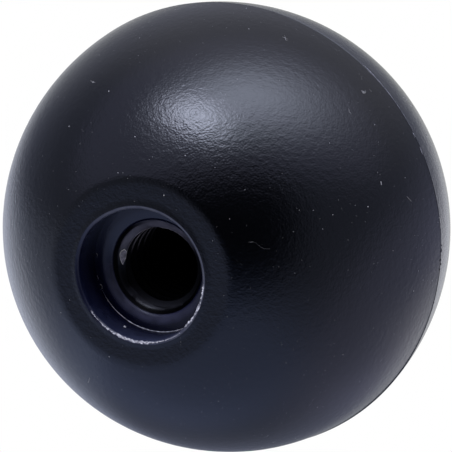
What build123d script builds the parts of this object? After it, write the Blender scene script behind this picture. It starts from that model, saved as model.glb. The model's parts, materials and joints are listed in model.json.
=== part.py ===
from build123d import *
import math
import os

# Lever knob: a ball moulded in one piece, in two mould halves that meet at its equator.
# Millimetres. The knob stands on the flat round its mouth: the origin is the centre of that
# flat, and +Z runs up the bore's axis, through the middle of the ball to its crown.

# The ball
ball_diameter = 40.0        # each half is part of a ball of this size
parting_rise = 0.4          # how far the ridge where the halves meet stands proud of the ball
belt_latitude = 27.0        # degrees from the ridge, where the flatter belt leaves the ball

# The mouth flat
flat_diameter = 16.2        # where the flat would cut the ball, before its edge is softened
flat_edge_radius = 2.0      # soft edge between the flat and the ball

# The counterbore that clears the lever's collar
counterbore_diameter = 11.7
counterbore_depth = 3.3     # down its wall, from the flat
shoulder_slope = 5.0        # degrees, the shoulder falls towards the thread

# The moulded thread, M8 coarse, whose bore is made here at the minor diameter
thread_diameter = 8.0
thread_pitch = 1.25
thread_length = 17.0
thread_angle = 60.0         # degrees, between a thread's two flanks
countersink_margin = 0.25   # how far the countersink reaches past the thread, all round
countersink_angle = 60.0    # degrees, included
countersink_depth = 0.6     # from the shoulder to the first flank of the thread
floor_chamfer = 0.6         # round the blind end of the bore

# A metric internal thread is 5/8 of its sharp triangle deep
thread_depth = 5 / 8 * math.sqrt(3) / 2 * thread_pitch

ball_radius = ball_diameter / 2
parting_radius = ball_radius + parting_rise
flat_radius = flat_diameter / 2
counterbore_radius = counterbore_diameter / 2
countersink_radius = thread_diameter / 2 + countersink_margin
bore_radius = thread_diameter / 2 - thread_depth

# The ball's centre stands above the flat by the height of the cap that the flat cuts off
centre_height = math.sqrt(ball_radius**2 - flat_radius**2)
crown_height = centre_height + ball_radius

# Each half's belt is an arc that is tangent to the ball at belt_latitude and passes through the
# ridge, so its centre lies on the far side of the ball's centre, belt_offset away from it
belt_angle = math.radians(belt_latitude)
belt_reach = ball_radius - parting_radius * math.cos(belt_angle)
belt_offset = (parting_radius**2 - ball_radius**2) / (2 * belt_reach)
belt_radius = ball_radius + belt_offset

# Heights down the bore, above the flat. The countersink ends at the first flank of the thread,
# which is made here as a face that leads in to the bore all round.
shoulder_fall = (counterbore_radius - countersink_radius) * math.tan(math.radians(shoulder_slope))
countersink_top = counterbore_depth + shoulder_fall
flank_top = countersink_top + countersink_depth
flank_radius = countersink_radius - countersink_depth * math.tan(math.radians(countersink_angle / 2))
thread_start = flank_top + (flank_radius - bore_radius) * math.tan(math.radians(thread_angle / 2))
bore_floor = thread_start + thread_length + floor_chamfer


def on_ball(latitude):
    """Point of the ball's outline at a latitude, in radians above its equator."""
    return (ball_radius * math.cos(latitude), centre_height + ball_radius * math.sin(latitude))


def on_belt(side, share):
    """Point of the belt arc on one side of the ridge, from the ridge (0) to the ball (1)."""
    belt_centre = (
        -belt_offset * math.cos(belt_angle),
        -side * belt_offset * math.sin(belt_angle),
    )
    ridge_angle = math.asin(-belt_centre[1] / belt_radius)
    angle = ridge_angle + share * (side * belt_angle - ridge_angle)
    return (
        belt_centre[0] + belt_radius * math.cos(angle),
        centre_height + belt_centre[1] + belt_radius * math.sin(angle),
    )


def ball_outline():
    """Half outline of the ball: mouth flat, lower half, ridge, upper half and axis."""
    flat_latitude = -math.asin(centre_height / ball_radius)
    flat_edge = (flat_radius, 0)
    ridge = (parting_radius, centre_height)
    crown = (0, crown_height)
    with BuildSketch(Plane.XZ) as outline:
        with BuildLine():
            Line((0, 0), flat_edge)
            ThreePointArc(flat_edge, on_ball((flat_latitude - belt_angle) / 2), on_ball(-belt_angle))
            ThreePointArc(on_ball(-belt_angle), on_belt(-1, 0.5), ridge)
            ThreePointArc(ridge, on_belt(1, 0.5), on_ball(belt_angle))
            ThreePointArc(on_ball(belt_angle), on_ball((math.pi / 2 + belt_angle) / 2), crown)
            Line(crown, (0, 0))
        make_face()
    return outline.sketch


def bore_outline():
    """Half outline of the hole: counterbore, shoulder, countersink, first flank and blind bore."""
    with BuildSketch(Plane.XZ) as outline:
        with BuildLine():
            Polyline(
                (0, 0),
                (counterbore_radius, 0),
                (counterbore_radius, counterbore_depth),
                (countersink_radius, countersink_top),
                (flank_radius, flank_top),
                (bore_radius, thread_start),
                (bore_radius, bore_floor - floor_chamfer),
                (bore_radius - floor_chamfer, bore_floor),
                (0, bore_floor),
                (0, 0),
            )
        make_face()
    return outline.sketch


def build_knob():
    """The moulded knob as one solid of revolution."""
    with BuildPart() as knob:
        revolve(ball_outline(), axis=Axis.Z)
        flat_rim = knob.edges().filter_by(GeomType.CIRCLE).sort_by(Axis.Z)[0]
        fillet(flat_rim, flat_edge_radius)
        revolve(bore_outline(), axis=Axis.Z, mode=Mode.SUBTRACT)
    return knob.part


os.makedirs("parts", exist_ok=True)
ball_knob = build_knob()
ball_knob.label = "ball_knob"
export_step(ball_knob, "parts/ball_knob.step")
print(f"crown {crown_height:.2f} mm above the flat, centre {centre_height:.2f} mm")
print(f"belt arc radius {belt_radius:.2f} mm, ridge {2 * parting_radius:.2f} mm across")
print(f"thread from {thread_start:.2f} to {thread_start + thread_length:.2f} mm, floor at {bore_floor:.2f} mm")
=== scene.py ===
import json
from math import asin, atan2, ceil, cos, pi, radians, sin, sqrt, tan
import bmesh
import bpy
from mathutils import Matrix, Vector
from mathutils.bvhtree import BVHTree


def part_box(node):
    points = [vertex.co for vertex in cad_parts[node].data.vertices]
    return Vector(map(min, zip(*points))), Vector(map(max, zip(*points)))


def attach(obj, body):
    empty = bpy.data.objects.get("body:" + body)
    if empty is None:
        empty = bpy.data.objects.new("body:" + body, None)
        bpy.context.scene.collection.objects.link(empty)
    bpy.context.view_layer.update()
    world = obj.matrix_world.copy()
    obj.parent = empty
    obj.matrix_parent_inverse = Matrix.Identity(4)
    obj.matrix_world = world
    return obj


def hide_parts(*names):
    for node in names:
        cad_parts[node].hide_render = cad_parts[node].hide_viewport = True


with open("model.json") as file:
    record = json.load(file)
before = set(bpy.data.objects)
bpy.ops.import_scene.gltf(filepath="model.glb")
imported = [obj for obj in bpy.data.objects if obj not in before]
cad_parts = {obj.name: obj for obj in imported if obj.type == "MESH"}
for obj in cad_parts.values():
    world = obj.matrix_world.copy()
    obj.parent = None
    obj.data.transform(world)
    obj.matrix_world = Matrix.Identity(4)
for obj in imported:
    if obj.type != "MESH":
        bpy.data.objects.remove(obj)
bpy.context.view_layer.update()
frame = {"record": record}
scene = bpy.context.scene
scene.view_settings.view_transform = "Standard"

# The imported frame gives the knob's driving sizes, in metres
mounts = {mount["name"]: mount for mount in frame["record"]["mounts"]}
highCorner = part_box("ball_knob")[1]
ridgeRadius = highCorner.x
crownHeight = highCorner.z
millimetre = 0.001
pictureSize = 452  # the photograph's width and height, in pixels


def mountSizes(name):
    # a bore's radius and length
    return [mounts[name]["dims"][key] * millimetre for key in ("r_mm", "length_mm")]


def placed(name, data):
    # a new object in the scene
    made = bpy.data.objects.new(name, data)
    scene.collection.objects.link(made)
    return made


def newMaterial(name):
    material = bpy.data.materials.new(name)
    material.use_nodes = True
    tree = material.node_tree
    return material, tree, tree.nodes["Principled BSDF"]


# Nodes of any tree, and arithmetic with them

def putNode(tree, kind, inputs=None, output=0, **settings):
    # gives one output of the new node, or all of them where output is None
    made = tree.nodes.new(kind)
    for key, value in settings.items():
        setattr(made, key, value)
    for key, value in (inputs or {}).items():
        if isinstance(value, bpy.types.NodeSocket):
            tree.links.new(value, made.inputs[key])
        else:
            made.inputs[key].default_value = value
    return made.outputs if output is None else made.outputs[output]


def linkNode(kind, inputs, output=0, **settings):
    # a new node in the tree that its inputs come from
    tree = next(value.id_data for value in inputs.values() if isinstance(value, bpy.types.NodeSocket))
    return putNode(tree, kind, inputs, output, **settings)


def calc(operation, *terms):
    return linkNode("ShaderNodeMath", dict(enumerate(terms)), operation=operation)


def plus(first, second):
    return calc("ADD", first, second)


def minus(first, second):
    return calc("SUBTRACT", first, second)


def times(product, *factors):
    for factor in factors:
        product = calc("MULTIPLY", product, factor)
    return product


def vectorCalc(operation, *terms):
    output = "Value" if operation == "DOT_PRODUCT" else "Vector"
    return linkNode("ShaderNodeVectorMath", dict(enumerate(terms)), output, operation=operation)


def scaled(vector, factor):
    return linkNode("ShaderNodeVectorMath", {0: vector, 3: factor}, operation="SCALE")


def splitXyz(vector):
    return linkNode("ShaderNodeSeparateXYZ", {"Vector": vector}, None)


def joinXyz(x, y, z):
    return linkNode("ShaderNodeCombineXYZ", {"X": x, "Y": y, "Z": z})


def mixed(factor, first, second):
    # mixes colours or plain numbers, as the first one is
    isColour = isinstance(first, tuple) or getattr(first, "type", "") in ("RGBA", "VECTOR")
    kind, start, output = ("RGBA", 6, 2) if isColour else ("FLOAT", 2, 0)
    inputs = {0: factor, start: first, start + 1: second}
    return linkNode("ShaderNodeMix", inputs, output, data_type=kind)


def ranged(value, fromMin, fromMax, toMin=0.0, toMax=1.0):
    inputs = {"Value": value, "From Min": fromMin, "From Max": fromMax, "To Min": toMin, "To Max": toMax}
    return linkNode("ShaderNodeMapRange", inputs, interpolation_type="SMOOTHSTEP")


def noiseOf(place, size, detail=1.0):
    return linkNode("ShaderNodeTexNoise", {"Vector": place, "Scale": 1 / size, "Detail": detail})


# Geometry Nodes: a tree's start and end, and what lies between

def newTree(name, floats, integers=(), vectors=()):
    tree = bpy.data.node_groups.new(name, "GeometryNodeTree")
    tree.interface.new_socket("Geometry", in_out="OUTPUT", socket_type="NodeSocketGeometry")
    for kind, names in (
        ("Geometry", ("Shape",)), ("Float", floats), ("Int", integers), ("Vector", vectors),
        ("Material", ("Material",)),
    ):
        for socket in names:
            tree.interface.new_socket(socket, in_out="INPUT", socket_type="NodeSocket" + kind)
    return tree, putNode(tree, "NodeGroupInput", output=None)


def reshaped(kind, shape, inputs=None, output=0, **settings):
    # a node that takes a shape as its first input
    return linkNode("GeometryNode" + kind, {0: shape, **(inputs or {})}, output, **settings)


def named(tree, name, kind="FLOAT"):
    return putNode(tree, "GeometryNodeInputNamedAttribute", {"Name": name}, "Attribute", data_type=kind)


def placeOf(tree):
    return putNode(tree, "GeometryNodeInputPosition")


def finishTree(tree, given, shape, aboveFlat=False):
    shape = reshaped("RealizeInstances", shape)
    if aboveFlat:
        x, y, height = splitXyz(placeOf(tree))
        settled = joinXyz(x, y, calc("MAXIMUM", height, 0.0))
        shape = reshaped("SetPosition", shape, {"Position": settled})
    shape = reshaped("SetMaterial", shape, {"Material": given["Material"]})
    linkNode("NodeGroupOutput", {0: shape}, None)


def bakeTree(piece, tree, values):
    # runs a tree on a piece and keeps the result as its plain mesh;
    # an input named Lip Reach takes the value lipReach
    modifier = piece.modifiers.new(tree.name, "NODES")
    modifier.node_group = tree
    for item in tree.interface.items_tree:
        key = item.name[0].lower() + item.name[1:].replace(" ", "")
        if item.in_out == "INPUT" and key in values:
            modifier[item.identifier] = values[key]
    evaluated = piece.evaluated_get(bpy.context.evaluated_depsgraph_get())
    mesh = bpy.data.meshes.new_from_object(evaluated)
    piece.modifiers.remove(modifier)
    piece.data = mesh
    mesh.name = piece.name


def finishPiece(piece):
    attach(piece, "root")
    print(f"{piece.name}: {len(piece.data.polygons)} faces")


# The knob's outline, from the crown over the ball and into the bore

knobValues = {
    "columns": 256,  # round the axis
    "partingRise": 0.4e-3,  # ridge above the ball
    "beltLatitude": 27.0,  # degrees, where a belt leaves the ball
    "grooveWidth": 0.12e-3,  # the parting line's fine groove, along the ridge
    "grooveDepth": 0.04e-3,
    "partingLedge": 0.085e-3,  # on one side the crown half's lip stands this far past the mouth half's
    "ledgeAngle": 8.0,  # degrees round the axis, the middle of that side
    "ledgeSide": (0.3, 1.0),  # cosines from that middle, where the ledge ends and is whole
    "ledgeFade": (0.8, 0.6, 0.4, 0.2),  # share of the ledge, row by row below the ridge
    "flatEdgeRadius": 2.0e-3,
    "flatRise": 0.065e-3,  # the mouth's flat is lowest at the rim, by this much
    "rimEdgeRadius": 0.34e-3,
    "lipFoot": (0.18e-3, 0.062e-3),  # where the rim's last slope starts, across and up from it
    "lipReach": 0.2e-3,  # on one side the rim is rolled in this far over the counterbore
    "lipAngle": 255.0,  # degrees round the axis, the middle of that side
    "lipSide": (-0.3, 0.4),  # cosines from that middle, where the roll ends and is whole
    "lipFade": (0.85, 0.3),  # share of the roll, in the rows before and after the rim
    "shoulderFlat": 0.7e-3,  # the shoulder is nearly flat this far in from the wall
    "shoulderRoll": 0.75e-3,  # and then rolls over, this far on
    "shoulderSlopes": (4.0, 18.0),  # degrees, at the wall and where the roll ends
    "shoulderEdgeRadius": 0.5e-3,
    "countersinkMargin": 0.25e-3,
    "countersinkAngle": 30.0,  # degrees between its wall and the axis
    "countersinkDepth": 0.6e-3,  # down to the first flank of the thread
    "flankAngle": 60.0,  # degrees between that flank and the axis
    "threadDiameter": 8.0e-3,
    "threadPitch": 1.25e-3,
    "crestHeight": 4.45e-3,  # where the first whole crest passes the crest angle
    "crestAngle": 160.0,  # degrees round the axis
    "floorChamfer": 0.6e-3,
    "coreShift": (0.13e-3, 0.24e-3, 0.0),  # the mould's core pin stood this far off the axis
    "coreFade": 10,  # rows, from the wall's foot to the whole shift
    "weldDistance": 1e-6,
    "sharpAngle": 28.0,  # degrees between faces, past which an edge shades sharp
}

# The mesh's rows along each run of the outline
rowCounts = {
    "crown": 26, "belt": 12, "ball": 16, "flatEdge": 7, "flat": 5, "rim": 6, "wall": 8, "shoulder": 3,
    "roll": 7, "shoulderEdge": 6, "chamfer": 2, "floor": 5,
}

# One pitch of the thread: share of the pitch, share of the depth
threadProfile = [
    (0.0, 0.0), (0.125, 0.0), (0.203, 0.25), (0.281, 0.5), (0.359, 0.75), (0.4375, 1.0),
    (0.5, 1.0), (0.5625, 1.0), (0.641, 0.75), (0.719, 0.5), (0.797, 0.25), (0.875, 0.0),
]


def arcRows(centre, radius, startAngle, endAngle, rows):
    # the rows of an arc in the outline's plane, without its first point
    points = []
    for row in range(1, rows + 1):
        angle = startAngle + (endAngle - startAngle) * row / rows
        points.append((centre[0] + radius * cos(angle), centre[1] + radius * sin(angle)))
    return points


def lineRows(start, end, rows):
    return [
        (start[0] + (end[0] - start[0]) * row / rows, start[1] + (end[1] - start[1]) * row / rows)
        for row in range(1, rows + 1)
    ]


def roundedCorner(before, corner, after, radius, rows):
    # a small arc that touches both straight runs beside a corner
    corner = Vector(corner)
    toBefore = (Vector(before) - corner).normalized()
    toAfter = (Vector(after) - corner).normalized()
    halfAngle = toBefore.angle(toAfter) / 2
    centre = corner + (toBefore + toAfter).normalized() * radius / sin(halfAngle)
    startPoint = corner + toBefore * radius / tan(halfAngle) - centre
    endPoint = corner + toAfter * radius / tan(halfAngle) - centre
    startAngle = atan2(startPoint.y, startPoint.x)
    turn = (atan2(endPoint.y, endPoint.x) - startAngle + pi) % (2 * pi) - pi
    return [tuple(centre + startPoint)] + arcRows(centre, radius, startAngle, startAngle + turn, rows)


def beltRows(centreHeight, ballRadius, side):
    # one belt from the ridge to the ball: an arc that is tangent to the ball
    beltAngle = radians(knobValues["beltLatitude"])
    reach = ballRadius - ridgeRadius * cos(beltAngle)
    offset = (ridgeRadius**2 - ballRadius**2) / (2 * reach)
    radius = ballRadius + offset
    centre = (-offset * cos(beltAngle), centreHeight - side * offset * sin(beltAngle))
    ridgeAngle = asin(side * offset * sin(beltAngle) / radius)
    return arcRows(centre, radius, ridgeAngle, side * beltAngle, rowCounts["belt"])


def outlineRows():
    # the outline's points, flags for each of them, and what the tree needs for the thread
    values = knobValues
    ballRadius = ridgeRadius - values["partingRise"]
    centreHeight = crownHeight - ballRadius
    centre = (0.0, centreHeight)
    beltAngle = radians(values["beltLatitude"])
    halfGroove = values["grooveWidth"] / 2
    points = [(0.0, crownHeight)]
    points += arcRows(centre, ballRadius, pi / 2, beltAngle, rowCounts["crown"])
    points += list(reversed(beltRows(centreHeight, ballRadius, 1)[:-1]))
    points.append((ridgeRadius, centreHeight + halfGroove))
    onLip = [0] * len(points)
    points.append((ridgeRadius - values["grooveDepth"], centreHeight))
    points.append((ridgeRadius, centreHeight - halfGroove))
    points += beltRows(centreHeight, ballRadius, -1)
    onLip += [1, 1, *values["ledgeFade"]]

    # the soft edge of the flat touches the ball and the flat
    edgeRadius = values["flatEdgeRadius"]
    edgeHeight = values["flatRise"] + edgeRadius
    edgeX = sqrt((ballRadius - edgeRadius) ** 2 - (centreHeight - edgeHeight) ** 2)
    edgeAngle = -atan2(centreHeight - edgeHeight, edgeX)
    points += arcRows(centre, ballRadius, -beltAngle, edgeAngle, rowCounts["ball"])
    points += arcRows((edgeX, edgeHeight), edgeRadius, edgeAngle, -pi / 2, rowCounts["flatEdge"])

    # the counterbore's shoulder, which rolls over towards the countersink
    foot = mountSizes("collar_counterbore")
    boreRadius = foot[0]
    outerSlope, innerSlope = (radians(slope) for slope in values["shoulderSlopes"])
    flat = values["shoulderFlat"]
    rollStart = (boreRadius - flat, foot[1] + flat * tan(outerSlope))
    rollRadius = values["shoulderRoll"] / (sin(innerSlope) - sin(outerSlope))
    rollX = rollStart[0] + rollRadius * sin(outerSlope)
    rollHeight = rollStart[1] + rollRadius * cos(outerSlope)
    down = -pi / 2
    shoulderRows = lineRows(foot, rollStart, rowCounts["shoulder"])
    shoulderRows += arcRows(
        (rollX, rollHeight), rollRadius, down - outerSlope, down - innerSlope, rowCounts["roll"]
    )
    sinkRadius = values["threadDiameter"] / 2 + values["countersinkMargin"]
    fall = (shoulderRows[-1][0] - sinkRadius) * tan(innerSlope)
    sinkTop = (sinkRadius, shoulderRows[-1][1] + fall)
    sinkAngle = radians(values["countersinkAngle"])
    sinkAim = (sinkRadius - sin(sinkAngle) * millimetre, sinkTop[1] + cos(sinkAngle) * millimetre)
    edgeRows = roundedCorner(
        shoulderRows[-1], sinkTop, sinkAim, values["shoulderEdgeRadius"], rowCounts["shoulderEdge"]
    )

    # the flat, the rim, the counterbore's wall and that shoulder
    rimRows = roundedCorner((edgeX, 0.0), (boreRadius, 0.0), foot, values["rimEdgeRadius"], rowCounts["rim"])
    footAcross, footUp = values["lipFoot"]
    lipBefore, lipAfter = values["lipFade"]
    points += lineRows(points[-1], (rimRows[0][0] + footAcross, footUp), rowCounts["flat"])
    onRim = [0] * (len(points) - 1) + [lipBefore]
    points.append(rimRows[0])
    outside = len(points)
    points += rimRows[1:]
    onRim += [1] * (len(points) - len(onRim)) + [lipAfter]
    points += lineRows(points[-1], foot, rowCounts["wall"])
    onCore = [0] * len(points)
    points += shoulderRows + edgeRows
    steps = range(1, len(points) - len(onCore) + 1)
    onCore += [min(step / values["coreFade"], 1.0) for step in steps]

    # the countersink and the thread, whose rows rise by a pitch in each turn
    beforeThread = len(points)
    threadStart = points[-1]
    minorRadius, threadLength = mountSizes("lever_thread")
    threadEnd = mounts["lever_thread"]["pos_m"][2] + threadLength / 2
    pitch = values["threadPitch"]
    depth = values["threadDiameter"] / 2 - minorRadius
    turns = ceil((threadEnd - threadStart[1]) / pitch)
    for turn in range(turns + 1):
        for share, depthShare in threadProfile:
            points.append((minorRadius + depth * depthShare, threadStart[1] + (turn + share) * pitch))
    afterThread = len(points)

    # the blind end
    chamfer = values["floorChamfer"]
    points.append((minorRadius, threadEnd))
    points += lineRows(points[-1], (minorRadius - chamfer, threadEnd + chamfer), rowCounts["chamfer"])
    points += lineRows(points[-1], (0.0, threadEnd + chamfer), rowCounts["floor"])
    flags = {
        "onHelix": ([0] * beforeThread + [1] * (afterThread - beforeThread), 0),
        "inHole": ([0] * outside, 1),
        "inBore": ([0] * beforeThread, 1),
        "onCore": (onCore, 1),
        "onLip": (onLip, 0),
        "onRim": (onRim, 0),
    }
    flags = {name: first + [rest] * (len(points) - len(first)) for name, (first, rest) in flags.items()}
    turnsToCrest = (values["crestHeight"] - threadStart[1]) / pitch
    thread = {
        "minorRadius": minorRadius,
        "startAngle": radians(values["crestAngle"]) - 2 * pi * (turnsToCrest % 1.0),
        "startRadius": threadStart[0],
        "startHeight": threadStart[1],
        "startSlope": tan(sinkAngle),
        "flankRadius": sinkRadius - values["countersinkDepth"] * tan(sinkAngle),
        "flankHeight": sinkTop[1] + values["countersinkDepth"],
        "flankSlope": tan(radians(values["flankAngle"])),
        "endHeight": threadEnd,
    }
    return points, flags, thread


def outlineMesh(points, flags):
    mesh = bpy.data.meshes.new("knobOutline")
    edges = [(row, row + 1) for row in range(len(points) - 1)]
    mesh.from_pydata([(x, 0.0, z) for x, z in points], edges, [])
    for name, values in flags.items():
        attribute = mesh.attributes.new(name, "FLOAT", "POINT")
        attribute.data.foreach_set("value", [float(value) for value in values])
    return mesh


def revolveTree():
    # turns the outline about Z, and lets the thread's rows climb their helix
    tree, given = newTree(
        "revolveOutline",
        (
            "Thread Pitch", "Minor Radius", "Start Angle", "End Height", "Sharp Angle",
            "Start Radius", "Start Height", "Start Slope", "Flank Radius", "Flank Height", "Flank Slope",
            "Parting Ledge", "Ledge Angle", "Lip Reach", "Lip Angle",
        ),
        ("Columns",), ("Core Shift",),
    )

    # a grid with one row for each point of the outline and one column for each step of the turn
    outline = given["Shape"]
    rowCount = reshaped("AttributeDomainSize", outline, output="Point Count", component="MESH")
    columnCount = plus(given["Columns"], 1.0)
    shape = linkNode("GeometryNodeMeshGrid", {"Vertices X": rowCount, "Vertices Y": columnCount})
    index = putNode(tree, "GeometryNodeInputIndex")
    row = calc("FLOOR", calc("DIVIDE", plus(index, 0.5), columnCount))
    column = minus(index, times(row, columnCount))
    turnShare = calc("DIVIDE", column, given["Columns"])

    def rowValue(value, kind="FLOAT"):
        # what the outline's own point says at this row
        return reshaped("SampleIndex", outline, {"Value": value, "Index": row}, data_type=kind)

    def rowFlag(name):
        return rowValue(named(tree, name))

    outlinePlace = splitXyz(rowValue(placeOf(tree), "FLOAT_VECTOR"))
    radius = outlinePlace["X"]
    height = outlinePlace["Z"]
    onHelix = rowFlag("onHelix")
    onCore = rowFlag("onCore")

    # the thread's rows climb, between the countersink's top and the thread's end
    pitch = given["Thread Pitch"]
    climbed = plus(height, times(pitch, minus(turnShare, 1.0)))
    climbed = calc("MAXIMUM", climbed, given["Start Height"])
    climbed = calc("MINIMUM", climbed, given["End Height"])

    def coneRadius(cone):
        fallen = times(minus(climbed, given[cone + " Height"]), given[cone + " Slope"])
        return minus(given[cone + " Radius"], fallen)

    def chosen(plain, threaded):
        return calc("MULTIPLY_ADD", minus(threaded, plain), onHelix, plain)

    # the thread is cut into the cones, and fades out over its last pitch
    cones = calc("MINIMUM", coneRadius("Start"), coneRadius("Flank"))
    toEnd = ranged(minus(given["End Height"], climbed), 0.0, pitch)
    depth = times(minus(radius, given["Minor Radius"]), toEnd)
    threadRadius = calc("MAXIMUM", cones, plus(given["Minor Radius"], depth))
    radius = chosen(radius, threadRadius)

    # the ledge and the rolled rim are whole on one side of the knob and fade out round it
    angle = calc("MULTIPLY_ADD", turnShare, 2 * pi, given["Start Angle"])
    for size, middle, side, rows in (
        ("Parting Ledge", "Ledge Angle", "ledgeSide", "onLip"),
        ("Lip Reach", "Lip Angle", "lipSide", "onRim"),
    ):
        towards = calc("COSINE", minus(angle, given[middle]))
        amount = times(given[size], ranged(towards, *knobValues[side]), rowFlag(rows))
        radius = minus(radius, amount)

    across = []
    for shift, turned in zip(splitXyz(given["Core Shift"]), ("COSINE", "SINE")):
        reach = times(radius, calc(turned, angle))
        across.append(calc("MULTIPLY_ADD", shift, onCore, reach))
    place = joinXyz(*across, chosen(height, climbed))
    for name in ("inHole", "inBore"):
        inputs = {"Name": name, "Value": rowFlag(name)}
        shape = reshaped("StoreNamedAttribute", shape, inputs, data_type="FLOAT", domain="POINT")
    shape = reshaped("SetPosition", shape, {"Position": place})
    shape = reshaped("MergeByDistance", shape, {"Distance": knobValues["weldDistance"]})

    # smooth, apart from the edges that are sharp on the moulding
    edgeAngle = putNode(tree, "GeometryNodeInputMeshEdgeAngle", output="Unsigned Angle")
    isSharp = calc("GREATER_THAN", edgeAngle, given["Sharp Angle"])
    shape = reshaped("SetShadeSmooth", shape, {"Shade Smooth": True}, domain="FACE")
    sharp = {"Selection": isSharp, "Shade Smooth": False}
    finishTree(tree, given, reshaped("SetShadeSmooth", shape, sharp, domain="EDGE"))
    return tree


def makeKnob(material):
    points, flags, thread = outlineRows()
    angles = {name: radians(knobValues[name]) for name in ("sharpAngle", "ledgeAngle", "lipAngle")}
    piece = placed("knobMoulding", outlineMesh(points, flags))
    bakeTree(piece, revolveTree(), {**knobValues, **angles, **thread, "material": material})
    finishPiece(piece)
    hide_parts("ball_knob")
    return piece


# Black moulded plastic

plasticValues = {
    "baseColour": (0.0006, 0.0007, 0.0011, 1.0),
    "holeColour": (0.0006, 0.0009, 0.009, 1.0),  # bluer on the counterbore's wall and shoulder: a painted bluish reflection
    # the bore's darker colour is painted shade deep in the bore
    "boreColour": (0.0004, 0.0004, 0.0008, 1.0),
    "roughness": 0.215,
    "holeRoughness": 0.2,
    "boreRoughness": 0.32,
    "threadRoughness": 0.7,
    "threadHeights": (4.6e-3, 5.6e-3),  # from the bore's gloss to the thread's
    # the thread reflects less: painted shade deep in the bore
    "threadSpecular": 0.12,
    "ior": 1.5,
    "peelSize": 0.5e-3,  # orange peel, from bump to bump
    "peelHeight": 0.022e-3,
    "grainSize": 0.16e-3,  # the finer grain on it
    "grainHeight": 0.019e-3,
    "holeBump": 0.25,  # how much of both is left in the hole
}

# patches of the painted sheen and of rougher worn plastic
sheenAndWearValues = {
    "roughness": 0.5,
    "patchSize": 0.8e-3,
    "patchDetail": 3.0,
    "patchRange": (0.2, 0.7, 0.45),  # of the noise, where the sheen and wear are least and whole, and the least
}

# Where the mouth is lighter on one side and rougher: painted sheen and highlights, on the rim partly a
# rubbed edge. Colour, the side of the knob in degrees, with how far round it the sheen reaches, as
# cosines, and the heights and radii where it ends and is whole
holeWearAndSheen = {
    "wall": ((0.023, 0.028, 0.058, 1.0), (300.0, -1.4, 0.1), (3.6e-3, 0.2e-3), None),
    "rim": ((0.064, 0.066, 0.090, 1.0), (270.0, -0.6, 0.4), (0.5e-3, 0.15e-3), None),
    "shoulder": ((0.022, 0.024, 0.062, 1.0), (40.0, -0.2, 0.9), None, (5.2e-3, 4.6e-3)),
}
# in the bore the lighter colour is painted sheen, with painted highlights on the thread's crests
paintedBoreSheen = {
    "steep": ((0.080, 0.082, 0.120, 1.0), (245.0, 0.3, 0.8), (4.6e-3, 4.3e-3), (3.85e-3, 4.0e-3)),
    "flank": ((0.062, 0.060, 0.092, 1.0), (205.0, 0.1, 0.7), (4.9e-3, 4.3e-3), (4.0e-3, 3.85e-3)),
    "crests": ((0.32, 0.30, 0.38, 1.0), (203.0, 0.2, 0.85), (11.0e-3, 5.5e-3), (3.345e-3, 3.327e-3)),
}


def plasticMaterial():
    values = plasticValues
    material, tree, shader = newMaterial("blackMoulding")
    shader.inputs["IOR"].default_value = values["ior"]
    place = putNode(tree, "ShaderNodeTexCoord", output="Object")
    inHole = putNode(tree, "ShaderNodeAttribute", output="Fac", attribute_name="inHole")
    inBore = putNode(tree, "ShaderNodeAttribute", output="Fac", attribute_name="inBore")
    x, y, height = splitXyz(place)

    # radius and direction round the mould's core pin, which shaped the bore
    coreX = minus(x, knobValues["coreShift"][0])
    coreY = minus(y, knobValues["coreShift"][1])
    radius = calc("SQRT", calc("MULTIPLY_ADD", coreX, coreX, times(coreY, coreY)))
    colour = mixed(inHole, values["baseColour"], values["holeColour"])
    # darker in the bore: painted shade
    colour = mixed(inBore, colour, values["boreColour"])
    roughness = mixed(inHole, values["roughness"], values["holeRoughness"])
    threaded = ranged(height, *values["threadHeights"])
    boreRoughness = mixed(threaded, values["boreRoughness"], values["threadRoughness"])
    roughness = mixed(inBore, roughness, boreRoughness)
    # the thread's weaker reflection is painted shade deep in the bore
    specular = shader.inputs["Specular IOR Level"]
    onThread = times(inBore, threaded)
    tree.links.new(mixed(onThread, specular.default_value, values["threadSpecular"]), specular)
    patches = noiseOf(place, sheenAndWearValues["patchSize"], sheenAndWearValues["patchDetail"])
    patches = ranged(patches, *sheenAndWearValues["patchRange"])
    # one side of the mouth and bore lighter and rougher: painted sheen and highlights, on the rim partly a
    # rubbed edge
    for places, where in ((holeWearAndSheen, minus(inHole, inBore)), (paintedBoreSheen, inBore)):
        for sheenAndWearColour, (side, none, whole), heights, radii in places.values():
            side = radians(side)
            towards = calc("MULTIPLY_ADD", coreX, cos(side), times(coreY, sin(side)))
            amount = times(ranged(calc("DIVIDE", towards, radius), none, whole), where)
            for limits, measure in ((heights, height), (radii, radius)):
                if limits:
                    amount = times(amount, ranged(measure, *limits))
            amount = times(amount, patches)
            colour = mixed(amount, colour, sheenAndWearColour)
            roughness = mixed(amount, roughness, sheenAndWearValues["roughness"])
    tree.links.new(colour, shader.inputs["Base Color"])
    tree.links.new(roughness, shader.inputs["Roughness"])

    # orange peel and a finer grain
    strength = mixed(inBore, mixed(inHole, 1.0, values["holeBump"]), 0.0)
    bump = {"Strength": strength}
    for name in ("peel", "grain"):
        noise = noiseOf(place, values[name + "Size"])
        bump.update({"Height": noise, "Distance": values[name + "Height"]})
        bump["Normal"] = linkNode("ShaderNodeBump", bump)
    tree.links.new(bump["Normal"], shader.inputs["Normal"])
    return material


# The photograph's viewpoint: below the knob and a little in front of it

cameraValues = {
    "elevation": -63.0,  # degrees, below the table's level
    "roll": 61.3,  # degrees
    "distance": 293.1e-3,  # from the ball's centre
    "offAxis": (0.031e-3, -0.131e-3),  # the ball's centre from the picture's, right and up
    "lens": 260.5,
    "sensor": 36.0,
    "clip": (0.01, 20.0),
}


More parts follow.
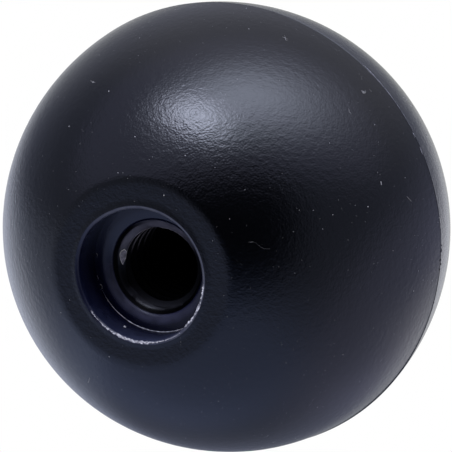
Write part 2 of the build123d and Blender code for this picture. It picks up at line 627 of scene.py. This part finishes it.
def cameraBasis():
    # the camera's right, up and backward directions
    elevation = radians(cameraValues["elevation"])
    roll = radians(cameraValues["roll"])
    backward = Vector((0.0, -cos(elevation), sin(elevation)))
    levelRight = Vector((1.0, 0.0, 0.0))
    levelUp = backward.cross(levelRight)
    right = levelRight * cos(roll) + levelUp * sin(roll)
    return right, backward.cross(right), backward


def ballCentre():
    return Vector((0.0, 0.0, crownHeight - (ridgeRadius - knobValues["partingRise"])))


def makeCamera():
    right, up, backward = cameraBasis()
    offRight, offUp = cameraValues["offAxis"]
    place = ballCentre() + backward * cameraValues["distance"] - right * offRight - up * offUp
    data = bpy.data.cameras.new("viewpoint")
    data.lens = cameraValues["lens"]
    data.sensor_width = cameraValues["sensor"]
    data.clip_start, data.clip_end = cameraValues["clip"]
    camera = placed("viewpoint", data)
    camera.matrix_world = Matrix.Translation(place) @ Matrix((right, up, backward)).transposed().to_4x4()
    scene.camera = camera
    print("camera placed")


def studioDirection(angle, azimuth):
    # a direction given as degrees from the camera and degrees round the picture from its right
    right, up, backward = cameraBasis()
    angle = radians(angle)
    azimuth = radians(azimuth)
    across = right * cos(azimuth) + up * sin(azimuth)
    return across * sin(angle) + backward * cos(angle)


# Plain soft studio light

lampValues = {
    "angle": 166.0,  # degrees from the camera, nearly overhead
    "azimuth": 20.0,
    "distance": 0.9,
    "size": 0.35,
    "watts": 1.2,
    "colour": (1.0, 0.99, 0.97),
}


def makeLamp():
    # an overhead softbox, for the floor's shadow and the crown
    towards = studioDirection(lampValues["angle"], lampValues["azimuth"])
    data = bpy.data.lights.new("overheadSoftbox", "AREA")
    data.shape = "DISK"
    data.size = lampValues["size"]
    data.energy = lampValues["watts"]
    data.color = lampValues["colour"]
    lamp = placed("overheadSoftbox", data)
    turn = towards.to_track_quat("Z", "Y").to_matrix().to_4x4()
    lamp.matrix_world = Matrix.Translation(ballCentre() + towards * lampValues["distance"]) @ turn
    lamp.visible_camera = False
    lamp.visible_glossy = False
    print("lamp placed")


worldValues = {
    "diffuse": 0.8,  # plain level that matt surfaces see
    "ambient": (0.20, 0.22, 0.31),  # what the gloss shows between the panels
    "dimAngles": (24.5, 52.5),  # degrees from the camera, where the dark round it is whole and ends
}

panelValues = {
    # name: angle, azimuth, half width, half height, turn, softness, strength, colour
    "key": (60.1, 105.2, 9.8, 25.5, 44.8, 1.0, 13.5, (0.92, 0.98, 1.22)),
    "keyGlow": (69.5, 81.0, 55.0, 32.0, 14.0, 1.0, 4.3, (0.88, 0.96, 1.19)),
    "upperGlow": (67.0, 93.0, 85.0, 44.0, 4.0, 0.1, 0.25, (0.98, 1.0, 1.55)),
    "lowerRight": (110.0, 330.0, 62.0, 50.0, -75.0, 0.5, 0.25, (1.03, 1.03, 1.56)),
    "below": (80.0, 252.0, 85.0, 59.0, 42.0, 0.4, 0.25, (0.78, 1.04, 2.0)),
}

# The pale backdrop, which only the gloss shows
backdropValues = {
    "left": (120.5, 203.0, 28.0, 68.0, 1.0, 0.3, 0.25, (0.90, 1.02, 1.34)),
    "lowerLeft": (150.0, 193.0, 44.0, 24.0, 77.0, 0.85, 0.52, (1.01, 1.03, 1.10)),
    "right": (161.0, 351.0, 24.0, 85.0, 25.5, 0.85, 0.63, (0.92, 0.90, 0.72)),
    "rightRim": (158.0, 357.0, 18.0, 14.0, 0.0, 1.0, 0.30, (0.90, 0.96, 1.4)),
    "topEdge": (111.5, 73.5, 53.0, 85.0, 61.0, 0.55, 0.234, (1.08, 1.05, 1.07)),
}


def panelGlow(direction, angle, azimuth, halfWidth, halfHeight, turn, softness, strength):
    # how bright one soft elliptical panel is in a direction
    right, up = cameraBasis()[:2]
    middle = studioDirection(angle, azimuth)
    swing = radians(azimuth)
    level = up * cos(swing) - right * sin(swing)
    upright = middle.cross(level)
    turn = radians(turn)
    across = (level * cos(turn) + upright * sin(turn)) / sin(radians(halfWidth))
    along = (upright * cos(turn) - level * sin(turn)) / sin(radians(halfHeight))
    x, y, ahead = (vectorCalc("DOT_PRODUCT", direction, axis) for axis in (across, along, middle))
    reach = calc("SQRT", plus(times(x, x), times(y, y)))
    glow = ranged(reach, 1 - softness, 1.0, strength, 0.0)
    return times(glow, calc("GREATER_THAN", ahead, 0.0))


def makeWorld():
    world = bpy.data.worlds.new("studio")
    world.use_nodes = True
    scene.world = world
    tree = world.node_tree
    rays = putNode(tree, "ShaderNodeLightPath", output=None)
    direction = putNode(tree, "ShaderNodeTexCoord", output="Generated")

    # what the gloss shows: a dark room behind the camera, a pale one elsewhere, and the panels
    away = calc("ARCCOSINE", vectorCalc("DOT_PRODUCT", direction, cameraBasis()[2]))
    level = ranged(away, *(radians(angle) for angle in worldValues["dimAngles"]))
    glossy = vectorCalc("MULTIPLY", worldValues["ambient"], level)
    for panels, seen in ((panelValues, 1.0), (backdropValues, rays["Is Glossy Ray"])):
        for *shape, colour in panels.values():
            glow = times(panelGlow(direction, *shape), seen)
            glossy = vectorCalc("MULTIPLY_ADD", colour, glow, glossy)

    lit = mixed(rays["Is Diffuse Ray"], glossy, (worldValues["diffuse"],) * 3 + (1.0,))
    white = calc("MAXIMUM", rays["Is Camera Ray"], rays["Is Transmission Ray"])
    colour = mixed(white, lit, (1.0,) * 4)
    tree.links.new(colour, tree.nodes["Background"].inputs["Color"])
    print("world lit")


# The floor shows from above only, so the camera below it sees the knob's mouth

floorValues = {
    "size": 3.0,
    "drop": 0.0002,  # below the mouth flat
    "colour": (0.82, 0.82, 0.83, 1.0),
    "roughness": 0.9,
}


def makeFloor():
    half = floorValues["size"] / 2
    level = -floorValues["drop"]
    mesh = bpy.data.meshes.new("floor")
    corners = [(-half, -half, level), (half, -half, level), (half, half, level), (-half, half, level)]
    mesh.from_pydata(corners, [], [(0, 1, 2, 3)])
    floor = placed("floor", mesh)
    material, tree, shader = newMaterial("paleFloor")
    shader.inputs["Base Color"].default_value = floorValues["colour"]
    shader.inputs["Roughness"].default_value = floorValues["roughness"]
    clear = putNode(tree, "ShaderNodeBsdfTransparent")
    fromBelow = putNode(tree, "ShaderNodeNewGeometry", output="Backfacing")
    surface = linkNode("ShaderNodeMixShader", {0: fromBelow, 1: shader.outputs[0], 2: clear})
    tree.links.new(surface, tree.nodes["Material Output"].inputs["Surface"])
    mesh.materials.append(material)
    floor.visible_shadow = False
    floor.visible_glossy = False
    floor.visible_diffuse = False
    print("floor laid")


# Chips, dust and lint, made of small ragged crumbs and thin fibres

crumbValues = {
    # ranges that a crumb's own proportions are drawn from
    "along": (0.5, 1.4),
    "across": (0.6, 1.2),
    "lumpSize": 0.45,  # share of the crumb
    "lumpDepth": (1.6, 0.2),  # factor on the noise, and what is added to it
    "chipSize": (0.35, 1.3),  # along a path
    "chipTurn": (-0.7, 0.7),  # radians off the path
    "dustNoise": (0.3, 0.7, 0.2, 1.6),  # from sparse to dense, and the density's share there
    "dustPower": 5.0,  # how much rarer the large ones are
    "fibreSides": 5,
}


def randomFloat(given, low, high, step=0.0):
    # step keeps draws with one seed apart
    inputs = {2: low, 3: high, 8: plus(given["Seed"], step)}
    return linkNode("FunctionNodeRandomValue", inputs, 1, data_type="FLOAT")


def aligned(inputs, axis, pivot="AUTO"):
    return linkNode("FunctionNodeAlignRotationToVector", inputs, axis=axis, pivot_axis=pivot)


def spun(rotation, angle):
    turn = linkNode("FunctionNodeAxisAngleToRotation", {"Axis": (0.0, 0.0, 1.0), "Angle": angle})
    inputs = {"Rotation": rotation, "Rotate By": turn}
    return linkNode("FunctionNodeRotateRotation", inputs, rotation_space="LOCAL")


def finishCrumbs(tree, given, points, rotation, size):
    # a ragged crumb on each point, stretched at random and flattened
    ball = putNode(tree, "GeometryNodeMeshIcoSphere", {"Radius": 0.5, "Subdivisions": 1})
    place = placeOf(tree)
    lumps = calc("MULTIPLY_ADD", noiseOf(place, crumbValues["lumpSize"]), *crumbValues["lumpDepth"])
    crumb = reshaped("SetPosition", ball, {"Position": scaled(place, lumps)})
    along = times(given["Stretch"], randomFloat(given, *crumbValues["along"]))
    across = randomFloat(given, *crumbValues["across"], 1.0)
    stretch = scaled(joinXyz(along, across, given["Flatness"]), size)
    inputs = {"Instance": crumb, "Rotation": rotation, "Scale": stretch}
    finishTree(tree, given, reshaped("InstanceOnPoints", points, inputs), aboveFlat=True)
    return tree


def speckTree():
    # a crumb on each point, as large as the point says
    tree, given = newTree("crumbsOnPoints", ("Stretch", "Flatness"), ("Seed",))
    turn = randomFloat(given, 0.0, 2 * pi)
    rotation = spun(aligned({"Vector": named(tree, "facing", "FLOAT_VECTOR")}, "Z"), turn)
    return finishCrumbs(tree, given, given["Shape"], rotation, named(tree, "crumbSize"))


def chipTree():
    # crumbs side by side along a path, scattered to its sides, as large as the path says there
    tree, given = newTree("crumbsAlongPath", ("Spacing", "Spread", "Stretch", "Flatness"), ("Seed",))
    curve = reshaped("MeshToCurve", given["Shape"])
    path = reshaped("CurveToPoints", curve, {"Length": given["Spacing"]}, None, mode="LENGTH")
    facing = named(tree, "facing", "FLOAT_VECTOR")
    size = times(named(tree, "crumbSize"), randomFloat(given, *crumbValues["chipSize"]))
    rotation = aligned({"Vector": facing}, "Z")
    rotation = aligned({"Vector": path["Tangent"], "Rotation": rotation}, "X", "Z")
    rotation = spun(rotation, randomFloat(given, *crumbValues["chipTurn"], 3.0))
    sideways = vectorCalc("CROSS_PRODUCT", facing, path["Tangent"])
    step = times(randomFloat(given, -1.0, 1.0, 2.0), given["Spread"], size)
    points = reshaped("SetPosition", path["Points"], {"Offset": scaled(sideways, step)})
    return finishCrumbs(tree, given, points, rotation, size)


def dustTree():
    # fine dust scattered over the outside, many small crumbs and few large ones
    sizes = ("Density", "Smallest", "Largest", "Patch", "Stretch", "Flatness")
    tree, given = newTree("dustOnSurface", sizes, ("Seed",))
    smallest = given["Smallest"]
    largest = given["Largest"]
    place = placeOf(tree)
    outside = calc("LESS_THAN", named(tree, "inHole"), 0.5)
    above = calc("GREATER_THAN", splitXyz(place)["Z"], largest)
    patches = linkNode("ShaderNodeTexNoise", {"Vector": place, "Scale": calc("DIVIDE", 1.0, given["Patch"])})
    density = times(given["Density"], ranged(patches, *crumbValues["dustNoise"]))
    inputs = {"Selection": times(outside, above), "Seed": given["Seed"], "Density": density}
    scattered = reshaped("DistributePointsOnFaces", given["Shape"], inputs, None)
    share = calc("POWER", randomFloat(given, 0.0, 1.0, 5.0), crumbValues["dustPower"])
    size = calc("MULTIPLY_ADD", minus(largest, smallest), share, smallest)
    return finishCrumbs(tree, given, scattered["Points"], scattered["Rotation"], size)


def fibreTree():
    # thin fibres along smooth paths
    tree, given = newTree("fibresAlongPaths", ("Radius",))
    curve = reshaped("MeshToCurve", given["Shape"])
    smooth = reshaped("CurveSplineType", curve, spline_type="CATMULL_ROM")
    circle = {"Resolution": crumbValues["fibreSides"], "Radius": given["Radius"]}
    profile = linkNode("GeometryNodeCurvePrimitiveCircle", circle)
    inputs = {"Profile Curve": profile, "Scale": named(tree, "crumbSize"), "Fill Caps": True}
    finishTree(tree, given, reshaped("CurveToMesh", smooth, inputs))
    return tree


# Rough, uneven finishes of the small pieces: two colours and the size of their patches
finishValues = {
    # pale chips, and also painted highlights: the lines along the counterbore's foot and the crown half's
    # edge
    "chippedMoulding": ((0.13, 0.13, 0.165, 1.0), (0.66, 0.66, 0.76, 1.0), 0.25e-3),
    "dustAndLint": ((0.18, 0.175, 0.18, 1.0), (0.58, 0.57, 0.60, 1.0), 0.6e-3),
    "tornMoulding": ((0.065, 0.063, 0.092, 1.0), (0.16, 0.155, 0.22, 1.0), 0.3e-3),
    "nickedMoulding": ((0.0005, 0.0005, 0.0008, 1.0), (0.002, 0.002, 0.003, 1.0), 0.3e-3),
}
finishRoughness = 0.65
finishNoise = {"detail": 2.0, "limits": (0.3, 0.7)}


def paleMaterial(name):
    darker, lighter, patchSize = finishValues[name]
    material, tree, shader = newMaterial(name)
    place = putNode(tree, "ShaderNodeTexCoord", output="Object")
    noise = noiseOf(place, patchSize, finishNoise["detail"])
    colour = mixed(ranged(noise, *finishNoise["limits"]), darker, lighter)
    tree.links.new(colour, shader.inputs["Base Color"])
    shader.inputs["Roughness"].default_value = finishRoughness
    return material


def castPixel(surface, pixel, lift=0.0):
    # the place on the knob that a pixel of the photograph shows, and the way that it faces
    right, up, backward = cameraBasis()
    focal = cameraValues["lens"] / cameraValues["sensor"] * pictureSize
    across = (pixel[0] - pictureSize / 2) / focal
    down = (pixel[1] - pictureSize / 2) / focal
    direction = (right * across - up * down - backward).normalized()
    place, facing = surface.ray_cast(scene.camera.matrix_world.translation, direction)[:2]
    return place + facing * lift, facing


def pathMesh(name, strokes):
    # strokes are lists of (place, facing, size)
    points = [point for stroke in strokes for point in stroke]
    edges = []
    first = 0
    for stroke in strokes:
        edges += [(first + step, first + step + 1) for step in range(len(stroke) - 1)]
        first += len(stroke)
    mesh = bpy.data.meshes.new(name)
    mesh.from_pydata([place for place, facing, size in points], edges, [])
    sizes = mesh.attributes.new("crumbSize", "FLOAT", "POINT")
    sizes.data.foreach_set("value", [size for place, facing, size in points])
    facings = mesh.attributes.new("facing", "FLOAT_VECTOR", "POINT")
    facings.data.foreach_set("vector", [value for place, facing, size in points for value in facing])
    return mesh


def onRing(radius, height, angle, facesOut, size):
    # a point of a ring round the axis; it faces outwards or down
    outwards = Vector((cos(radians(angle)), sin(radians(angle)), 0.0))
    place = outwards * radius + Vector((0.0, 0.0, height))
    return place, outwards if facesOut else Vector((0, 0, -1)), size


def refined(strokes, steps=5):
    # more points along each stroke round the axis, so that it stays on its ring
    finer = []
    for stroke in strokes:
        points = [stroke[0]]
        for (place, facing, size), (nextPlace, nextFacing, nextSize) in zip(stroke, stroke[1:]):
            radius = Vector((place.x, place.y)).length
            for step in range(1, steps + 1):
                share = step / steps
                spot = place.lerp(nextPlace, share)
                flat = Vector((spot.x, spot.y)).normalized() * radius
                way = facing.lerp(nextFacing, share).normalized()
                points.append((Vector((flat.x, flat.y, spot.z)), way, size + (nextSize - size) * share))
        finer.append(points)
    return finer


def makePiece(name, shape, tree, material, values):
    # shape is a list of strokes or a mesh
    piece = placed(name, pathMesh(name, shape) if isinstance(shape, list) else shape)
    bakeTree(piece, tree, {**values, "material": material})
    finishPiece(piece)


rimBurrValues = {
    "height": 0.04e-3,
    "spacing": 0.04e-3,
    "spread": 0.5,
    "stretch": 1.7,
    "flatness": 0.5,
    "seed": 11,
    # radius, then degrees round the axis and crumb size along the chips, lengths in millimetres
    "stretches": [
        (5.97, [(83, 0.08), (80, 0.05), (72, 0.06), (66, 0.10), (60, 0.09), (53, 0.16), (48, 0.18),
                (44, 0.12), (38, 0.17), (28, 0.15), (18, 0.09), (6, 0.05), (-6, 0.03)]),
        (5.84, [(-13, 0.05), (-18, 0.12), (-24, 0.08), (-30, 0.12), (-36, 0.16), (-41, 0.06), (-47, 0.10),
                (-53, 0.13), (-56, 0.05)]),
        (5.93, [(-132, 0.03), (-135, 0.06), (-139, 0.03)]),
    ],
}


def makeRimBurr(material):
    height = rimBurrValues["height"]
    strokes = [
        [onRing(radius * millimetre, height, angle, False, size * millimetre) for angle, size in stretch]
        for radius, stretch in rimBurrValues["stretches"]
    ]
    makePiece("rimBurr", refined(strokes), chipTree(), material, rimBurrValues)


# a pale line along the counterbore's foot, partly flash and partly a painted highlight
cornerFlashGlintValues = {
    "radius": 0.028e-3,
    "inset": 0.02e-3,  # off the wall and off the shoulder
    # degrees round the axis and thickness, along the counterbore's foot
    "line": [
        (94, 0.1), (84, 0.3), (73, 0.6), (61, 1.1), (45, 1.6), (30, 1.4), (15, 1.0), (0, 0.8), (-8, 0.4),
    ],
}


def makeCornerFlashGlint(material):
    # the fine pale line in the counterbore's inside corner: partly flash, partly a painted highlight
    radius, height = (size - cornerFlashGlintValues["inset"] for size in mountSizes("collar_counterbore"))
    stroke = [onRing(radius, height, angle, False, size) for angle, size in cornerFlashGlintValues["line"]]
    makePiece("cornerFlash", refined([stroke]), fibreTree(), material, cornerFlashGlintValues)


tornFlashValues = {
    "thickness": 0.07e-3,
    # the torn flap's outline, through pixels of the photograph
    "outline": [
        (124.2, 249.6), (126.4, 251.6), (126.2, 255.4), (124.6, 260.4), (122.9, 265.0), (120.6, 259.6),
        (119.8, 255.0), (121.2, 251.4),
    ],
}


def makeTornFlash(surface, material):
    # a torn flap of flash that lies on the countersink
    outline = tornFlashValues["outline"]
    count = len(outline)
    lifts = (0.0, tornFlashValues["thickness"])
    points = [castPixel(surface, pixel, lift)[0] for lift in lifts for pixel in outline]
    faces = [tuple(range(count, 2 * count)), tuple(reversed(range(count)))]
    faces += [(step, (step + 1) % count, (step + 1) % count + count, step + count) for step in range(count)]
    mesh = bpy.data.meshes.new("tornFlash")
    mesh.from_pydata(points, [], faces)
    shape = bmesh.new()
    shape.from_mesh(mesh)
    bmesh.ops.recalc_face_normals(shape, faces=shape.faces)
    bmesh.ops.triangulate(shape, faces=shape.faces)
    shape.to_mesh(mesh)
    shape.free()
    mesh.materials.append(material)
    finishPiece(placed("tornFlash", mesh))


# Chipped and nicked places of the parting line, and a pale line along it that is a painted highlight.
# Inset is how far a mark's path lies inside the ridge, rise how far above it; marks are degrees round
# the axis with thickness or size
partingValues = {
    "spread": 0.5,
    "flatness": 0.35,
    "seed": 5,
    "line": {  # a pale fibre along the crown half's edge: a painted highlight
        "radius": 0.018e-3,
        "inset": 0.016e-3,
        "rise": 0.19e-3,
        "marks": [[
            (249, 0.1), (251, 0.3), (253.6, 0.95), (256, 0.6), (260, 0.55), (264, 0.42), (268, 0.3),
            (271, 0.1),
        ]],
    },
    "pale": {  # sizes in millimetres here and below
        "inset": 0.03e-3,
        "rise": 0.0,
        "spacing": 0.05e-3,
        "stretch": 2.5,
        "marks": [
            [(253.0, 0.03), (253.7, 0.07), (254.4, 0.03)],
            [(271.2, 0.04), (272, 0.11), (272.8, 0.04)],
            [(275.2, 0.04), (276.2, 0.10), (277.5, 0.04)],
        ],
    },
    "dark": {
        "inset": 0.01e-3,
        "rise": 0.1e-3,
        "spacing": 0.42e-3,
        "stretch": 1.0,
        "marks": [
            [(300.6, 0.25), (306.6, 0.25)],
            [(315.4, 0.20), (316.3, 0.55), (317.0, 0.20)],
        ],
    },
}


def makePartingMarks(paleFinish, darkFinish):
    # the pale line is a painted highlight; the pale and dark marks are chips and nicks
    for name, finish in (("line", paleFinish), ("pale", paleFinish), ("dark", darkFinish)):
        makeTree, unit = (fibreTree, 1) if name == "line" else (chipTree, millimetre)
        values = partingValues[name]
        radius = ridgeRadius - values["inset"]
        height = ballCentre().z + values["rise"]
        strokes = [
            [onRing(radius, height, angle, True, size * unit) for angle, size in stroke]
            for stroke in values["marks"]
        ]
        makePiece("partingMarks_" + name, refined(strokes), makeTree(), finish, {**partingValues, **values})


speckValues = {
    # size in millimetres: pixels of the photograph
    0.3: [(124.7, 326.8)],
    0.17: [(93.2, 82.2)],
    0.10: [
        (135, 136.7), (413.5, 291), (363.8, 92), (187.3, 141), (164, 195.3), (69, 126.3), (175.3, 9.7),
    ],
    0.09: [(108.8, 91.3)],
    0.07: [
        (68.3, 189.5), (185.3, 155.5), (248.8, 28.8), (329.7, 143), (368, 206.7), (332.8, 214.8),
        (60.8, 312.7), (109.2, 356.8), (325, 370.3), (317.3, 407.3), (285.2, 38), (439.3, 217.8),
        (433.5, 305),
    ],
    0.055: [
        (127.7, 178.5), (118, 172.8), (361.8, 79), (403, 133.3), (374.7, 124.7), (405.2, 177.8),
        (355.2, 205.5), (341.5, 208.3), (313.5, 210.3), (299.3, 210.3), (340.3, 168), (423.2, 280.2),
        (184.5, 386.3), (218.3, 401.3), (261.8, 434.3), (322.7, 229), (152.5, 156.7), (215, 167.5),
        (359.3, 74),
    ],
    0.04: [
        (130, 58.5), (40, 163), (62, 161.7), (76, 171.7), (108.5, 178.7), (76, 191), (82.5, 200.8),
        (82, 130), (91, 123), (380, 92.5), (391.8, 114.7), (389.3, 106.7), (377.5, 172.5), (341.8, 148.7),
        (282.3, 173.3), (244.8, 189.7), (373.8, 155.8), (270.2, 90.8), (317.7, 85.3), (305.2, 69.7),
        (339.3, 189), (338.5, 199.7), (423, 199), (319.8, 218.3), (352, 222.5), (48.3, 267.7),
        (142.2, 366.8), (328.3, 385.2), (301.5, 260.2), (348.2, 270.2), (386.5, 322.7), (400.2, 239.7),
    ],
}

fibreValues = {
    "radius": 0.02e-3,
    # paths over the knob through pixels of the photograph, with each fibre's thickness
    "paths": [
        (0.2, [(248.5, 242.2), (251.5, 242), (255.2, 242)]),
        (0.12, [(255.2, 242), (260.2, 246.8), (265.2, 248.8), (270.2, 248.5)]),
        (0.06, [(235.2, 260.2), (239.3, 261.8), (242.3, 266)]),
        (1.3, [(380.7, 181.4), (381.1, 183.2), (381.3, 185.2)]),
        (0.6, [(348.5, 109), (349.4, 111.8), (351, 114)]),
        (0.7, [(406.8, 196.7), (409, 198.9), (411, 201.3)]),
        (0.6, [(90, 377.7), (89.2, 380), (88, 382.7)]),
        (0.75, [(361.6, 90.4), (363.6, 93.4), (365.6, 92.2), (365.2, 90.4)]),
        (0.35, [(369.2, 89.2), (371.8, 91.8)]),
        (0.45, [(282.2, 36.8), (285.2, 38), (288, 39.2)]),
        (0.35, [(284.4, 35.2), (285.3, 38), (286.2, 41)]),
        (0.45, [(402.6, 98), (404.6, 97.4), (406.4, 99.6), (405.4, 101.4)]),
        (0.45, [(410.2, 105.8), (412.6, 105.4), (413, 107.8)]),
        (0.4, [(425, 133.4), (427, 134.8), (426.6, 137)]),
        (0.9, [(90.6, 80.8), (93.2, 82.2), (95.2, 82.6)]),
        (0.35, [(96.4, 253), (97.4, 255.2), (97, 257.4)]),
        (0.3, [(97, 275.5), (98.2, 278), (97.8, 280.4)]),
        (0.4, [(99.6, 284.4), (101.8, 285.4), (102.2, 288), (100.6, 289.4)]),
        (1.9, [(124.4, 249.4), (121.4, 251.2), (120, 255), (120.8, 259.6), (122.9, 264.4)]),
        (1.4, [(124.4, 249.4), (126.4, 251.6), (126.2, 255.4), (124.6, 260.4), (122.9, 264.4)]),
    ],
}

dustValues = {
    "density": 0.8e6,  # crumbs per square metre
    "smallest": 0.014e-3,
    "largest": 0.05e-3,
    "patch": 4.0e-3,
    "stretch": 1.3,
    "flatness": 0.5,
    "seed": 7,
}


def makeDust(knob, surface, material):
    specks = [
        [(*castPixel(surface, pixel), size * millimetre)]
        for size, pixels in speckValues.items() for pixel in pixels
    ]
    fibres = [
        [(*castPixel(surface, pixel, fibreValues["radius"] / 2), thickness) for pixel in pixels]
        for thickness, pixels in fibreValues["paths"]
    ]
    makePiece("dustSpecks", specks, speckTree(), material, dustValues)
    makePiece("lintFibres", fibres, fibreTree(), material, fibreValues)
    makePiece("fineDust", knob.data.copy(), dustTree(), material, dustValues)


makeCamera()
makeLamp()
makeWorld()
makeFloor()
knob = makeKnob(plasticMaterial())
chipsAndGlint, dusty, torn, nicked = (paleMaterial(name) for name in finishValues)
knobSurface = BVHTree.FromPolygons(
    [vertex.co for vertex in knob.data.vertices], [face.vertices for face in knob.data.polygons]
)
makeRimBurr(chipsAndGlint)
makeCornerFlashGlint(chipsAndGlint)
makeTornFlash(knobSurface, torn)
makePartingMarks(chipsAndGlint, nicked)
makeDust(knob, knobSurface, dusty)
